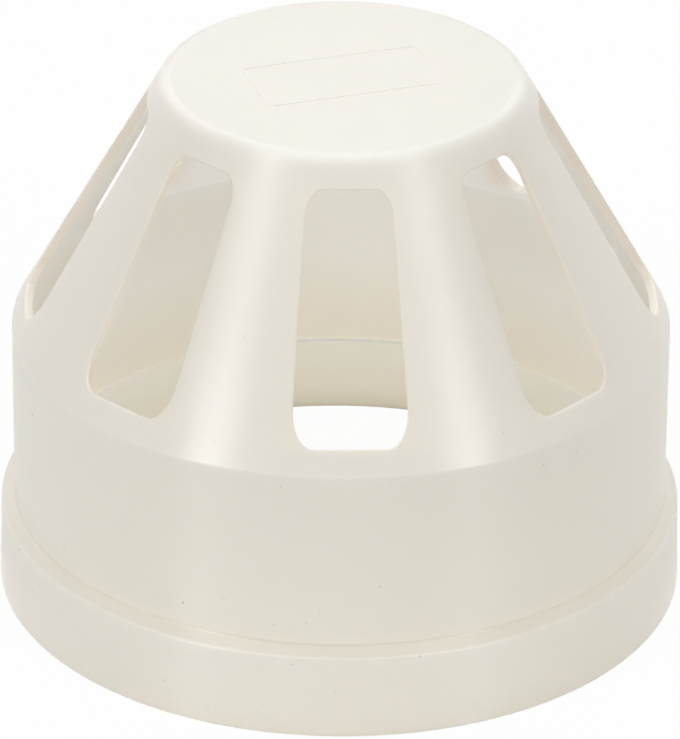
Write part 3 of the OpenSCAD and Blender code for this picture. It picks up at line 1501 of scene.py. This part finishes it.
@dataclass
class Studio:
    """White sweep, soft lamps and even fill."""

    softboxes: tuple[Softbox, ...] = (
        Softbox("strip_left", -46.0, 27.0, 1.3, 0.3, 1.2, 4.8),
        Softbox("strip_right", 45.0, 27.0, 1.3, 0.3, 1.2, 3.58),
        Softbox("overhead", 0.0, 88.0, 1.3, 1.2, 1.2, 2.05),
        Softbox("behind", 180.0, 35.0, 1.4, 1.2, 0.6, 2.7),
        Softbox("table_panel", 0.0, -90.0, 0.0449, 0.1182, 0.1182, 0.44, LampShape.ROUND),
    )
    aim: tuple[float, float, float] = (0.0, 0.0, 0.045)
    front_deg: float = -1.87
    floor_m: float = 12.0
    floor_gap_mm: float = 0.05
    floor_hex: str = "#F4F4F2"
    fill: float = 0.1
    backdrop_share: float = 0.95

    def build(self) -> None:
        """Build the lamps, the floor and the world."""
        for box in self.softboxes:
            box.build(Vector(self.aim), self.front_deg)
        self._floor()
        self._world()
        LOG.info("studio: %d softboxes", len(self.softboxes))

    @staticmethod
    def _background_rays(tree: Tree) -> Node:
        """Pick out the rays that see the backdrop: from the camera, a reflection or glass.

        Args:
            tree: The node tree of the floor or the world.

        Returns:
            1 for those rays.
        """
        rays = add_node(tree, "ShaderNodeLightPath").outputs
        seen = rays["Is Camera Ray"]
        for kind in ("Is Glossy Ray", "Is Transmission Ray"):
            seen = add_node(tree, MATH, {0: seen, 1: rays[kind]}, operation="MAXIMUM")
        return seen

    def _floor(self) -> None:
        """Lay the floor: matt white paper, almost white, that keeps the cap's soft shadow."""
        mesh = bpy.data.meshes.new("paper_floor")
        half, low = self.floor_m / 2, -self.floor_gap_mm * MM
        corners = [(-half, -half, low), (half, -half, low), (half, half, low), (-half, half, low)]
        mesh.from_pydata(corners, [], [(0, 1, 2, 3)])
        floor = bpy.data.objects.new("paper_floor", mesh)
        bpy.context.scene.collection.objects.link(floor)
        made = bpy.data.materials.new("matt_white_paper")
        made.use_nodes = True
        tree = made.node_tree
        tree.nodes.clear()
        look = {"Color": linear(self.floor_hex), "Roughness": 1.0}
        paper = add_node(tree, "ShaderNodeBsdfDiffuse", look)
        glow = add_node(tree, "ShaderNodeEmission", {"Color": WHITE, "Strength": 1.0})
        rays = self._background_rays(tree)
        share = add_node(tree, MATH, {0: rays, 1: self.backdrop_share}, operation="MULTIPLY")
        mixed = add_node(tree, "ShaderNodeMixShader", {0: share, 1: paper, 2: glow})
        add_node(tree, "ShaderNodeOutputMaterial", {"Surface": mixed})
        mesh.materials.append(made)

    def _world(self) -> None:
        """Fill the room with even light, and show it white to the rays that see the backdrop."""
        world = bpy.data.worlds.new("white_sweep")
        bpy.context.scene.world = world
        world.use_nodes = True
        tree = world.node_tree
        tree.nodes.clear()
        limits = {"To Min": self.fill, "To Max": 1.0}
        strength = add_node(tree, RANGE, {"Value": self._background_rays(tree)} | limits)
        room = add_node(tree, "ShaderNodeBackground", {"Color": WHITE, "Strength": strength})
        add_node(tree, "ShaderNodeOutputWorld", {"Surface": room})


@dataclass(frozen=True)
class PhotoCamera:
    """Long lens at the photograph's viewing angle, whose frame is 680 by 739 pixels."""

    focal_px: float = 6982.46
    frame_px: float = 739.0
    sensor_mm: float = 36.0
    clip_m: Point2 = (0.01, 50.0)
    distance_m: float = 1.1659
    elevation_deg: float = 28.6187
    azimuth_deg: float = -1.87
    roll_deg: float = 0.4991
    aim_height_m: float = 0.02565
    aside_px: float = 0.66
    above_px: float = 59.10

    def build(self) -> bpy.types.Object:
        """Make the camera and give it to the scene.

        Returns:
            The camera's object.
        """
        lens = bpy.data.cameras.new("photo_camera")
        lens.sensor_width = self.sensor_mm
        lens.lens = self.focal_px / self.frame_px * self.sensor_mm
        lens.clip_start, lens.clip_end = self.clip_m
        az, el = math.radians(self.azimuth_deg), math.radians(self.elevation_deg)
        forward = Vector((0, math.cos(el), -math.sin(el)))
        up, right = Vector((0, math.sin(el), math.cos(el))), Vector((1, 0, 0))
        spot = Vector((0, 0, self.aim_height_m)) - forward * self.distance_m
        yaw = Matrix.Rotation(math.atan(self.aside_px / self.focal_px), 3, up)
        forward, right = yaw @ forward, yaw @ right
        pitch = Matrix.Rotation(math.atan(self.above_px / self.focal_px), 3, right)
        forward, up = pitch @ forward, pitch @ up
        roll = math.radians(self.roll_deg)
        right, up = (
            right * math.cos(roll) + up * math.sin(roll),
            up * math.cos(roll) - right * math.sin(roll),
        )
        turn = Matrix.Rotation(az, 3, "Z")
        right, up, forward, spot = (turn @ v for v in (right, up, forward, spot))
        thing = bpy.data.objects.new("photo_camera", lens)
        bpy.context.scene.collection.objects.link(thing)
        axes = Matrix((right, up, -forward)).transposed().to_4x4()
        thing.matrix_world = Matrix.Translation(spot) @ axes
        bpy.context.scene.camera = thing
        return thing


def main() -> None:
    """Build the cap, its studio and the camera."""
    logging.basicConfig(level=logging.INFO, format="%(name)s: %(message)s")
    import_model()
    bpy.context.scene.view_settings.view_transform = "Standard"
    CapMoulding().build(RigidPvc().material())
    Studio().build()
    PhotoCamera().build()


if __name__ == "__main__":
    main()
